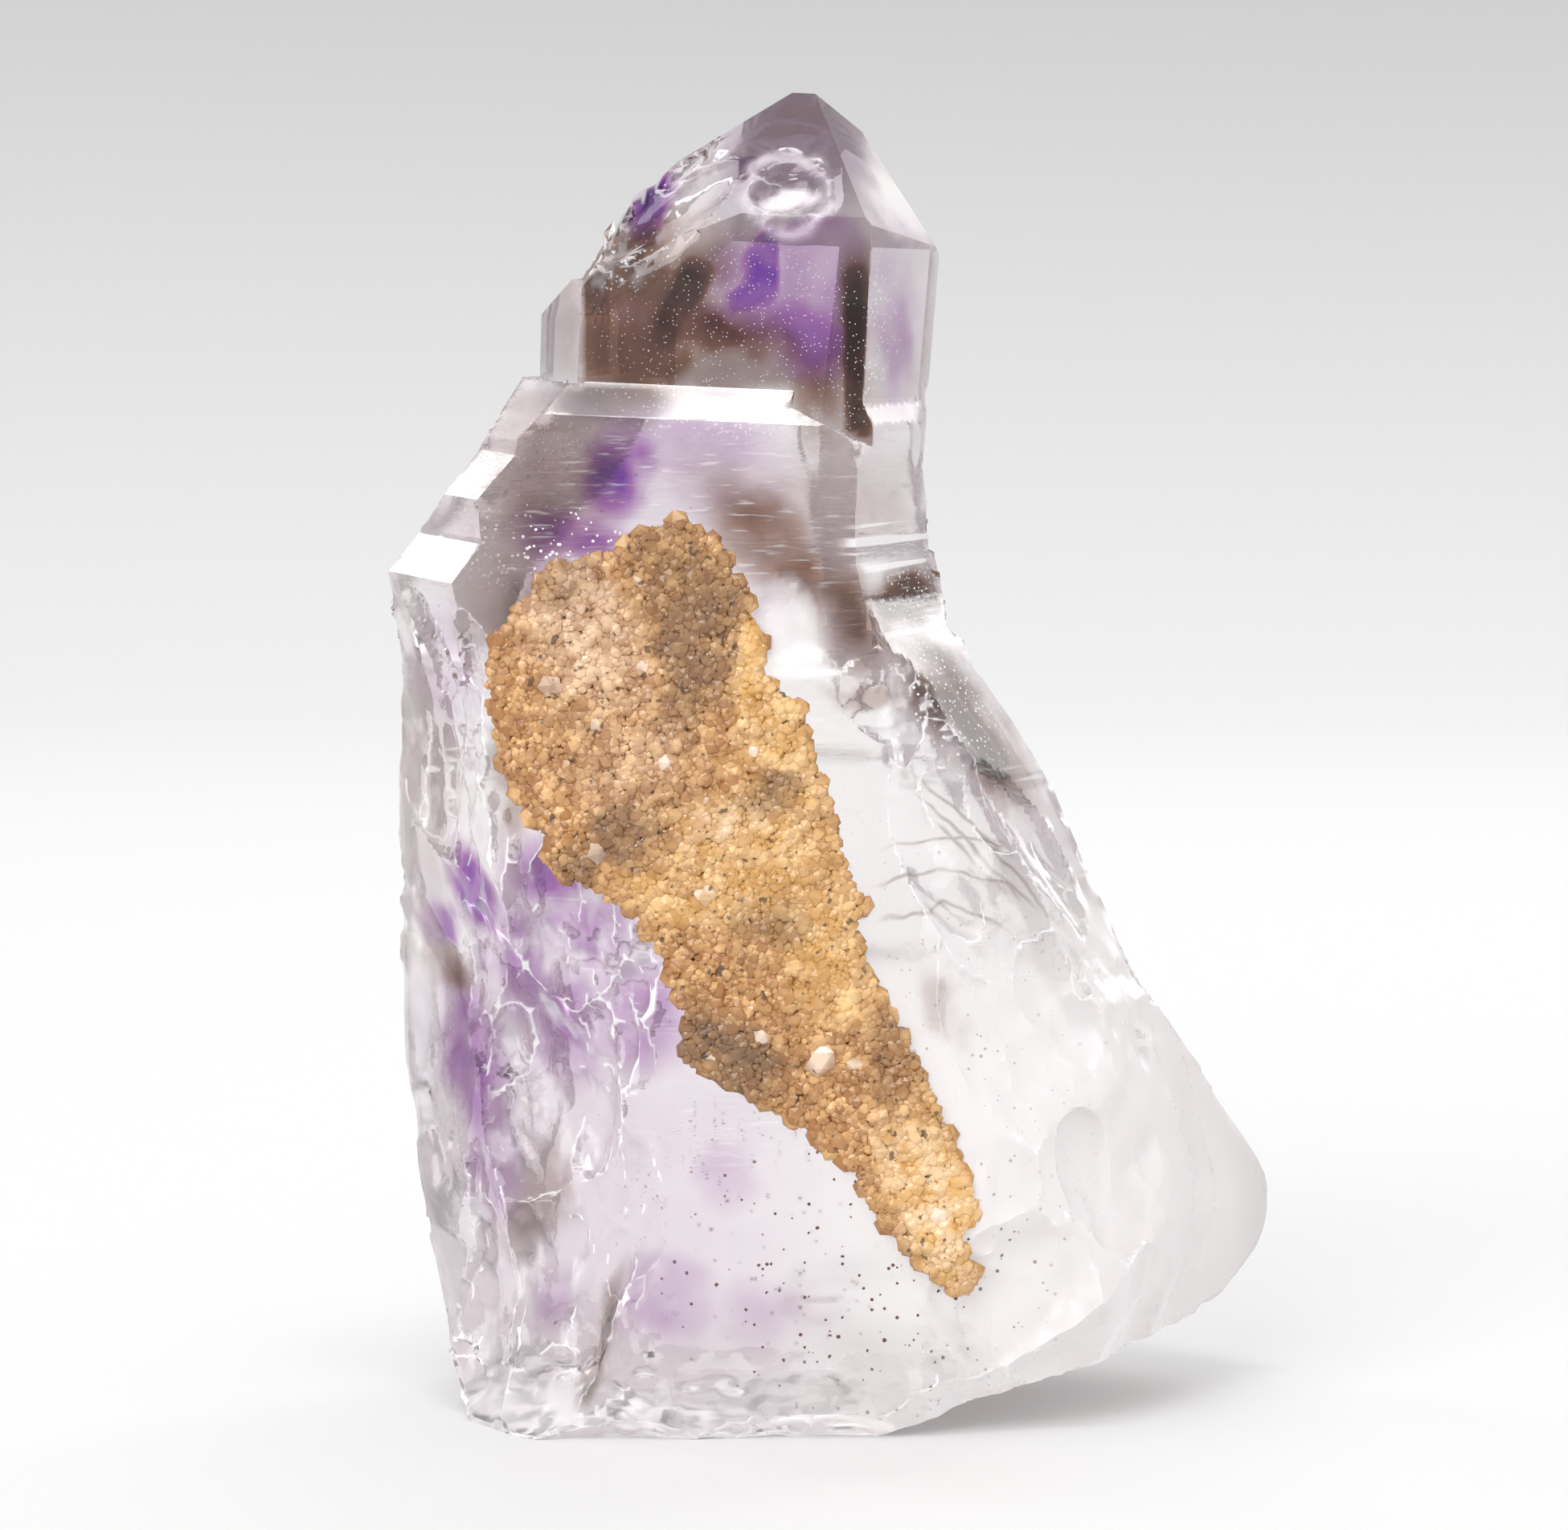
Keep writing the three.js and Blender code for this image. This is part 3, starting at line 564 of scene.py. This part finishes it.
def clear_quartz():
    """Clear quartz with soft lilac and smoky colour, flecks, frost, growth lines and rough breaks, with
    painted highlights on its ledges, ridges and a hollow's rim, and painted glow in its milky zones.
    Each colour and finish is laid over the last by a share that the mesh carries.
    A see-through surface tints light by the square root of its colour, and the colours lie mostly on
    the front, so they are squared to show as they are given. Roughness is a sum, highest at the back."""
    made, tree, place = blank("clear quartz")
    broken = carried(tree, "broken")
    sway = noise(tree, place, 2.0 * MM, 1.5)
    violet = times(tree, carried(tree, "violet"), ramp(tree, sway, 0.3, 0.62, 0.72, 1))
    smoke = times(tree, carried(tree, "smoke"), ramp(tree, sway, 0.3, 0.6, 0.82, 1))
    colour = blend(tree, broken, CLEAN_TINT, BROKEN_TINT)
    # Smoky grey, and painted shade on the ledge's left part.
    colour = blend(tree, carried(tree, "grey"), colour, SMOKY_GREY_AND_SHADE)
    colour = blend(tree, ramp(tree, violet, 0, 0.6), colour, LILAC)
    colour = blend(tree, ramp(tree, violet, 0.55, 1), colour, DEEP_VIOLET)
    colour = blend(tree, ramp(tree, smoke, 0, 0.65), colour, SMOKY_BROWN, "MULTIPLY")
    colour = blend(tree, ramp(tree, smoke, 0.55, 1), colour, DARK_SMOKE, "MULTIPLY")
    fan = times(tree, arcs(tree, place, sway, *FAN_ARCS), carried(tree, "fanned"))
    split = times(tree, arcs(tree, place, sway, *SPLIT_ARCS), carried(tree, "split"))
    edge = times(tree, arcs(tree, place, sway, *FLANK_ARCS), times(tree, carried(tree, "flank"), 0.6))
    colour = blend(tree, times(tree, larger(tree, fan, split, edge), 0.75), colour, CRACK_BROWN)
    colour = blend(tree, 1.0, colour, colour, "MULTIPLY")

    specks = add(tree, "TexVoronoi", {"Vector": place, "Scale": 1 / SPECK_CELL})
    chance = add(tree, "SeparateColor", {0: specks.outputs["Color"]})
    fleck = times(tree, dots(tree, specks, chance.outputs[0], 0.935, 0.52), carried(tree, "flecked"))
    frost = times(tree, dots(tree, specks, chance.outputs[1], 0.3, 0.4), carried(tree, "frosted"))
    lines = noise(tree, place, 0.22 * MM, 2, (9, 9, 1))
    lined = carried(tree, "lined")
    scratch = times(tree, ramp(tree, lines, 0.60, 0.70), times(tree, lined, 0.4))
    clouds = noise(tree, place, 1.6 * MM, 2, (1, 1, 1.8))
    veil = times(tree, ramp(tree, clouds, 0.54, 0.66), times(tree, broken, 0.5))
    # Ridges between chips get a painted highlight: white standing in for the light they catch.
    ridge_highlight = ramp(tree, carried(tree, "ridge"), 0.45, 0.95, 0, 0.85)
    steps = noise(tree, place, 0.35 * MM, 0, (60, 60, 1))
    step = times(tree, ramp(tree, steps, 0.56, 0.62), times(tree, carried(tree, "striated"), 0.85))
    white = larger(tree, frost, scratch, veil, ridge_highlight, step)
    etched_and_highlit = carried(tree, "etched_and_highlit")
    milk_and_glow = carried(tree, "milk_and_glow")
    colour = blend(tree, white, colour, FROST_AND_HIGHLIGHT_WHITE)
    # Etched patches, and the painted highlights on the sloping ledges and the hollow's rim, go white.
    colour = blend(tree, times(tree, etched_and_highlit, 0.6), colour, ETCHED_AND_HIGHLIGHT_WHITE)
    # Milky white, partly painted glow of light from behind.
    colour = blend(tree, times(tree, milk_and_glow, 0.5), colour, MILKY_GLOW_WHITE)
    colour = blend(tree, fleck, colour, FLECK_RED)

    clear = ramp(tree, larger(tree, white, etched_and_highlit, times(tree, milk_and_glow, 0.5)), 0, 1, 1, 0.25)
    rough = ramp(tree, broken, 0, 1, 0.02, 0.08)
    rough = plus(tree, rough, times(tree, etched_and_highlit, 0.4))
    rough = plus(tree, rough, times(tree, white, 0.3))
    rough = plus(tree, rough, times(tree, milk_and_glow, 0.22))
    rough = plus(tree, rough, times(tree, carried(tree, "dimmed"), 0.35))
    depth = add(tree, "SeparateXYZ", {0: place}).outputs["Y"]
    rough = plus(tree, rough, ramp(tree, depth, -2 * MM, 5 * MM, 0, 0.38))
    height = blend(tree, broken, times(tree, lines, lined), noise(tree, place, 0.5 * MM, 1))
    bump = add(tree, "Bump", {"Strength": 0.5, "Distance": 0.05 * MM, "Height": height})
    shader = add(tree, "BsdfPrincipled", {
        "Base Color": colour, "Roughness": rough, "IOR": QUARTZ_IOR, "Transmission Weight": clear,
        "Normal": bump.outputs[0]})
    within = add(tree, "VolumeAbsorption", {"Color": INNER_TINT, "Density": INNER_DENSITY})
    out = add(tree, "OutputMaterial", {"Surface": shader.outputs[0], "Volume": within.outputs[0]})
    out.is_active_output = True
    return made


glass_mesh.materials.append(clear_quartz())
crystal = bpy.data.objects.new("clear_crystal", glass_mesh)
bpy.context.scene.collection.objects.link(crystal)
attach(crystal, "root")
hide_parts("quartz_crystal")


# Crust of grains. Fine sugary quartz, tan and ochre, that grew over the middle of the front face.
# Each grain is a small half-clear crystal, stained and with painted shade at its foot, fast to its
# neighbours and the crystal.

GRAIN_SEED = 3
GRAIN_PITCH = 0.27 * MM
GRAIN_STRAY = 0.45  # how far a grain strays from its place in the rows, against the pitch
GRAIN_LEAST, GRAIN_SPREAD = 0.75, 0.85  # the least radius and how much more it can be, against the pitch
GRAIN_SQUASH = 0.6  # how deep a grain is against its width
RELIEF_SHARE = 0.12  # how much of the solid crust's relief the grains follow
CRUST_LIFT = 0.30 * MM
UNDER_EVERY = 6  # one grain in six has a larger one under it, to close the gaps
UNDER_DEPTH = 0.28 * MM
UNDER_SIZE = 0.62 * MM
RAY_BATCH = 400


def front_of(mesh, x, z):
    """How far forward a mesh reaches over each place: the least y of its triangles there, else nan."""
    corners = read(mesh.vertices, "co", 3)[read(mesh.polygons, "vertices", 3, int)]
    a, b, c = corners[:, 0], corners[:, 1], corners[:, 2]
    area = (b[:, 0] - a[:, 0]) * (c[:, 2] - a[:, 2]) - (c[:, 0] - a[:, 0]) * (b[:, 2] - a[:, 2])
    kept = np.abs(area) > 1e-16
    a, b, c, area = a[kept], b[kept], c[kept], area[kept]
    found = np.full(len(x), np.nan)
    for first in range(0, len(x), RAY_BATCH):
        batch = slice(first, first + RAY_BATCH)
        px, pz = x[batch, None], z[batch, None]
        v = ((px - a[:, 0]) * (c[:, 2] - a[:, 2]) - (c[:, 0] - a[:, 0]) * (pz - a[:, 2])) / area
        w = ((b[:, 0] - a[:, 0]) * (pz - a[:, 2]) - (px - a[:, 0]) * (b[:, 2] - a[:, 2])) / area
        y = a[:, 1] + v * (b[:, 1] - a[:, 1]) + w * (c[:, 1] - a[:, 1])
        y = np.where((v >= 0) & (w >= 0) & (v + w <= 1), y, np.inf).min(1)
        found[batch] = np.where(np.isfinite(y), y, np.nan)
    return found


def turned(random, count):
    """Random turns as 3 by 3 matrices, from random quaternions."""
    quaternions = random.normal(size=(count, 4))
    w, x, y, z = (quaternions / np.linalg.norm(quaternions, axis=1)[:, None]).T
    return np.stack([
        1 - 2 * (y * y + z * z), 2 * (x * y - z * w), 2 * (x * z + y * w),
        2 * (x * y + z * w), 1 - 2 * (x * x + z * z), 2 * (y * z - x * w),
        2 * (x * z - y * w), 2 * (y * z + x * w), 1 - 2 * (x * x + y * y)], 1).reshape(-1, 3, 3)


grain_random = np.random.default_rng(GRAIN_SEED)
low, high = (np.array(corner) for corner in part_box("grain_crust"))
rows = np.arange(low[2], high[2], GRAIN_PITCH * math.sqrt(3) / 2)
columns = np.arange(low[0], high[0], GRAIN_PITCH)
x, z = (side.ravel() for side in np.meshgrid(columns, rows))
x = x + grain_random.uniform(-GRAIN_STRAY, GRAIN_STRAY, len(x)) * GRAIN_PITCH
z = z + grain_random.uniform(-GRAIN_STRAY, GRAIN_STRAY, len(z)) * GRAIN_PITCH
y = front_of(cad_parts["grain_crust"].data, x, z)
here = np.isfinite(y)
x, y, z = x[here], y[here], z[here]
face = front_of(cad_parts["quartz_crystal"].data, x, z)
face = np.where(np.isfinite(face), face, y + 1 * MM)
y = face + RELIEF_SHARE * (y - face) - CRUST_LIFT
middles = np.stack([x, y, z], 1)
sizes = GRAIN_PITCH * (GRAIN_LEAST + GRAIN_SPREAD * grain_random.uniform(0, 1, len(middles)) ** 3)
middles[:, 1] += sizes * grain_random.uniform(-0.1, 0.2, len(middles))
under = middles[::UNDER_EVERY] + (0, UNDER_DEPTH, 0)

# Some larger, paler grains stand out of the crust: across, up and radius, in mm.
PALE_LIFT = 0.32 * MM
PALE_GRAINS = [
    (-6.4, 27.6, 0.66), (-2.5, 30.4, 0.5), (-8.3, 44.6, 0.5), (-9.7, 38.8, 0.45), (-12.1, 29.6, 0.7),
    (-4.3, 34.6, 0.4), (-8.7, 34.1, 0.5), (-14.4, 37.9, 0.7), (-6.7, 32.3, 0.4), (-0.9, 19.2, 0.85),
    (0.8, 19.0, 0.6), (-6.7, 27.4, 0.6), (-3.9, 20.4, 0.55), (-14.6, 41.0, 0.5), (-10.0, 43.2, 0.45),
    (3.4, 14.4, 0.55), (1.8, 16.6, 0.45), (5.0, 11.4, 0.5), (-8.0, 30.0, 0.45), (-12.0, 36.0, 0.45),
]
pale = np.array(PALE_GRAINS)
pale_y = front_of(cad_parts["quartz_crystal"].data, pale[:, 0] * MM, pale[:, 1] * MM)
pale_y = pale_y - PALE_LIFT - 0.1 * pale[:, 2] * MM
pale_middles = np.stack([pale[:, 0] * MM, pale_y, pale[:, 1] * MM], 1)
is_pale = np.repeat([0.0, 1.0], [len(middles) + len(under), len(pale)])
middles = np.concatenate([middles, under, pale_middles])
sizes = np.concatenate([sizes, np.full(len(under), UNDER_SIZE), pale[:, 2] * MM])

# A grain is a ball of twenty flat faces, stretched and turned at random and then pressed flat.
maker = bmesh.new()
bmesh.ops.create_icosphere(maker, subdivisions=1, radius=1)
ball_mesh = bpy.data.meshes.new("ball")
maker.to_mesh(ball_mesh)
maker.free()
ball = read(ball_mesh.vertices, "co", 3)
ball_faces = read(ball_mesh.polygons, "vertices", 3, int)
bpy.data.meshes.remove(ball_mesh)
stretch = grain_random.uniform(0.75, 1.25, (len(middles), 1, 3))
grains = np.einsum("nij,nvj->nvi", turned(grain_random, len(middles)), ball * stretch)
grains[:, :, 1] *= GRAIN_SQUASH
corners = (middles[:, None] + grains * sizes[:, None, None]).reshape(-1, 3)
faces = (ball_faces[None] + len(ball) * np.arange(len(middles))[:, None, None]).reshape(-1, 3)
crust_mesh = bpy.data.meshes.new("grains")
crust_mesh.from_pydata(corners.tolist(), [], faces.tolist())
behind = corners[:, 1] - np.repeat(middles[:, 1], len(ball))
foot = np.clip(behind / np.repeat(GRAIN_SQUASH * sizes, len(ball)), -1, 1)
carry(crust_mesh, "foot", foot)
carry(crust_mesh, "pale", np.repeat(is_pale, len(ball)))
carry(crust_mesh, "tone", np.repeat(grain_random.uniform(0, 1, len(middles)), len(ball)))

# Where the crust is stained brown or ochre, or left cream, as in patches.
BROWN_PATCHES = [
    (-7.2, 40.0, 1.6, 4.6, -12, 0.85, 0.7),
    (-8.4, 45.2, 2.0, 1.2, 0, 0.5, 0.8),
    (-10.6, 30.6, 1.6, 1.2, -20, 0.9, 0.7),
    (-12.9, 28.9, 1.2, 1.0, 0, 0.7, 0.7),
    (-3.3, 32.5, 1.4, 0.8, 0, 0.7, 0.7),
    (-5.7, 19.6, 3.0, 1.6, -20, 0.95, 0.7),
    (-13.4, 43.0, 1.8, 1.0, 10, 0.45, 0.8),
    (2.6, 19.6, 1.6, 1.6, 0, 0.5, 0.8),
    (-3.6, 26.0, 1.6, 1.2, 0, 0.5, 0.8),
    (-8.0, 43.2, 2.6, 1.8, 0, 0.5, 0.8),
]
OCHRE_PATCHES = [
    (-4.2, 39.6, 0.8, 2.2, 10, 0.9, 0.7),
    (-2.8, 34.6, 1.6, 4.0, 25, 0.7, 0.8),
    (-4.4, 29.4, 4.0, 3.4, 0, 0.6, 0.7),
    (-1.0, 25.0, 2.4, 4.6, 20, 0.6, 0.8),
    (5.4, 12.0, 2.4, 4.4, 25, 1.0, 0.6),
    (0.2, 22.4, 0.8, 0.9, 0, 1.0, 0.6),
    (-8.0, 27.4, 2.4, 1.6, -30, 0.6, 0.7),
]
CREAM_PATCHES = [
    (-12.8, 40.0, 2.4, 3.4, 20, 0.8, 0.7),
    (-5.8, 30.8, 1.8, 1.1, 0, 0.7, 0.7),
    (-10.4, 34.0, 3.0, 2.2, 0, 0.4, 0.8),
    (5.2, 12.0, 2.2, 4.0, 25, 0.5, 0.8),
]
carry(crust_mesh, "cream", patches(corners, CREAM_PATCHES, 0.8))
carry(crust_mesh, "brown", patches(corners, BROWN_PATCHES, 0.8))
carry(crust_mesh, "ochre", patches(corners, OCHRE_PATCHES, 0.8))


TAN_HEAD, LIGHT_HEAD = (0.36, 0.15, 0.045, 1), (0.76, 0.46, 0.20, 1)
OCHRE_HEAD = (0.93, 0.66, 0.33, 1)
CREAM_HEAD = (0.86, 0.64, 0.47, 1)
BROWN_HEAD = (0.17, 0.09, 0.045, 1)
PALE_HEAD = (0.95, 0.88, 0.82, 1)
TAN_STAIN_AND_SHADE, OCHRE_STAIN_AND_SHADE = (0.31, 0.13, 0.035, 1), (0.66, 0.33, 0.045, 1)
BROWN_STAIN_AND_SHADE = (0.16, 0.09, 0.055, 1)
DARK_DIRT = (0.08, 0.04, 0.02, 1)


def grainy_quartz():
    """Slightly see-through quartz grains, each of its own tone at its head and darker and browner at its
    foot:
    real stain with painted shade in the gaps. A share of stain and shade rises from head to foot, with soft
    clouds of stain over the heads and a little dirt."""
    made, tree, place = blank("grainy quartz")
    ochre = carried(tree, "ochre")
    brown = carried(tree, "brown")
    head = blend(tree, carried(tree, "tone"), TAN_HEAD, LIGHT_HEAD)
    head = blend(tree, times(tree, ochre, 0.7), head, OCHRE_HEAD)
    head = blend(tree, times(tree, carried(tree, "cream"), 0.8), head, CREAM_HEAD)
    head = blend(tree, times(tree, brown, 0.8), head, BROWN_HEAD)
    head = blend(tree, times(tree, carried(tree, "pale"), 0.45), head, PALE_HEAD)
    stain_and_shade = blend(tree, ochre, TAN_STAIN_AND_SHADE, OCHRE_STAIN_AND_SHADE)
    stain_and_shade = blend(tree, brown, stain_and_shade, BROWN_STAIN_AND_SHADE)
    cloud = ramp(tree, noise(tree, place, 1.2 * MM, 1), 0.42, 0.62, 0, 0.6)
    # Painted shade with real stain: each grain darkens and browns towards its foot, in the gaps between
    # grains.
    stained_and_shaded = ramp(tree, carried(tree, "foot"), -0.6, 0.5, 0, 0.7)
    share = add(tree, "Math", {0: stained_and_shaded, 1: cloud}, operation="ADD", use_clamp=True).outputs[0]
    dirt = times(tree, ramp(tree, noise(tree, place, 0.5 * MM, 1), 0.67, 0.73), 0.8)
    colour = blend(tree, dirt, blend(tree, share, head, stain_and_shade), DARK_DIRT)
    shader = add(tree, "BsdfPrincipled", {
        "Base Color": colour, "Roughness": 0.2, "IOR": QUARTZ_IOR, "Transmission Weight": 0.08})
    add(tree, "OutputMaterial", {"Surface": shader.outputs[0]})
    return made


crust_mesh.materials.append(grainy_quartz())
crust = bpy.data.objects.new("crust_grains", crust_mesh)
bpy.context.scene.collection.objects.link(crust)
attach(crust, "root")
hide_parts("grain_crust")


# Studio. A pale floor that curves up into a backdrop, soft lights behind, above and in front,
# and a camera in front of the crystal, a little above it.

SWEEP_WIDTH = 2.4
FLOOR_FRONT = -1.2
BEND_START = 0.35
BEND_RADIUS = 0.3
WALL_TOP = 1.4
quarter = np.linspace(0, math.pi / 2, 16)
bend = np.column_stack([
    BEND_START + BEND_RADIUS * np.sin(quarter),
    BEND_RADIUS - BEND_RADIUS * np.cos(quarter)])
sweep = np.concatenate([[(FLOOR_FRONT, 0.0)], bend, [(BEND_START + BEND_RADIUS, WALL_TOP)]])
left = np.column_stack([np.full(len(sweep), -SWEEP_WIDTH / 2), sweep])
right = left * (-1, 1, 1)
count = len(sweep)
floor_mesh = bpy.data.meshes.new("backdrop")
floor_mesh.from_pydata(
    np.concatenate([left, right]).tolist(), [],
    [(i, i + count, i + count + 1, i + 1) for i in range(count - 1)])
floor_mesh.polygons.foreach_set("use_smooth", np.ones(count - 1, bool))


FRONT_GREY, BACK_SHADE_GREY = (0.70, 0.70, 0.70, 1), (0.66, 0.66, 0.66, 1)
TOP_SHADE_GREY = (0.52, 0.52, 0.52, 1)


def pale_paper():
    """Matt paper, palest at the front of the floor and greyer towards the top: painted shade, the falloff
    of light on the backdrop.
    """
    made = bpy.data.materials.new("pale paper")
    made.use_nodes = True
    tree = made.node_tree
    place = add(tree, "TexCoord").outputs["Object"]
    up = add(tree, "SeparateXYZ", {0: place}).outputs["Z"]
    back = add(tree, "SeparateXYZ", {0: place}).outputs["Y"]
    colour = blend(tree, ramp(tree, back, 0.02, 0.36), FRONT_GREY, BACK_SHADE_GREY)
    colour = blend(tree, ramp(tree, up, 0.0, 0.07), colour, TOP_SHADE_GREY)
    tree.links.new(colour, tree.nodes["Principled BSDF"].inputs["Base Color"])
    tree.nodes["Principled BSDF"].inputs["Roughness"].default_value = 0.9
    return made


floor_mesh.materials.append(pale_paper())
backdrop = bpy.data.objects.new("backdrop", floor_mesh)
bpy.context.scene.collection.objects.link(backdrop)


def softbox(name, place, aim, wide, high, watts):
    """A rectangular soft light at a place, turned towards its aim."""
    lamp = bpy.data.lights.new(name, "AREA")
    lamp.shape = "RECTANGLE"
    lamp.size = wide
    lamp.size_y = high
    lamp.energy = watts
    held = bpy.data.objects.new(name, lamp)
    held.location = place
    held.rotation_euler = (Vector(aim) - Vector(place)).to_track_quat("-Z", "Y").to_euler()
    bpy.context.scene.collection.objects.link(held)
    return held


MIDDLE = (0, 0, 0.034)
softbox("back left", (-0.50, 0.40, 0.315), MIDDLE, 0.15, 0.20, 0.6)
softbox("back right", (0.45, 0.42, 0.25), MIDDLE, 0.16, 0.24, 0.6)
softbox("top front", (0.0, -0.235, 0.556), MIDDLE, 0.2, 0.08, 0.7)
softbox("front fill", (-0.25, -0.55, 0.35), MIDDLE, 0.5, 0.4, 2.4)
softbox("back glow", (0.05, 0.30, 0.30), (0, 0.06, 0.0), 0.4, 0.2, 0.45)

ROOM_LIGHT = 0.88
world = bpy.data.worlds.new("pale room")
world.use_nodes = True
world.node_tree.nodes["Background"].inputs["Color"].default_value = (1, 1, 1, 1)
world.node_tree.nodes["Background"].inputs["Strength"].default_value = ROOM_LIGHT
bpy.context.scene.world = world

CAMERA_TARGET = (-2.72 * MM, -10.12 * MM, 33.9 * MM)
CAMERA_DISTANCE = 0.4
CAMERA_ELEVATION = math.radians(6)
PHOTO_WIDTH = 1951
FOCAL_PIXELS = 10000
SENSOR = 36.0
lens = bpy.data.cameras.new("photo view")
lens.sensor_width = SENSOR
lens.lens = SENSOR * FOCAL_PIXELS / PHOTO_WIDTH
lens.clip_start = 0.01
camera = bpy.data.objects.new("photo view", lens)
camera.location = (
    CAMERA_TARGET[0], CAMERA_TARGET[1] - CAMERA_DISTANCE * math.cos(CAMERA_ELEVATION),
    CAMERA_TARGET[2] + CAMERA_DISTANCE * math.sin(CAMERA_ELEVATION))
camera.rotation_euler = (math.pi / 2 - CAMERA_ELEVATION, 0, 0)
bpy.context.scene.collection.objects.link(camera)
bpy.context.scene.camera = camera
bpy.context.scene.view_settings.view_transform = "Standard"
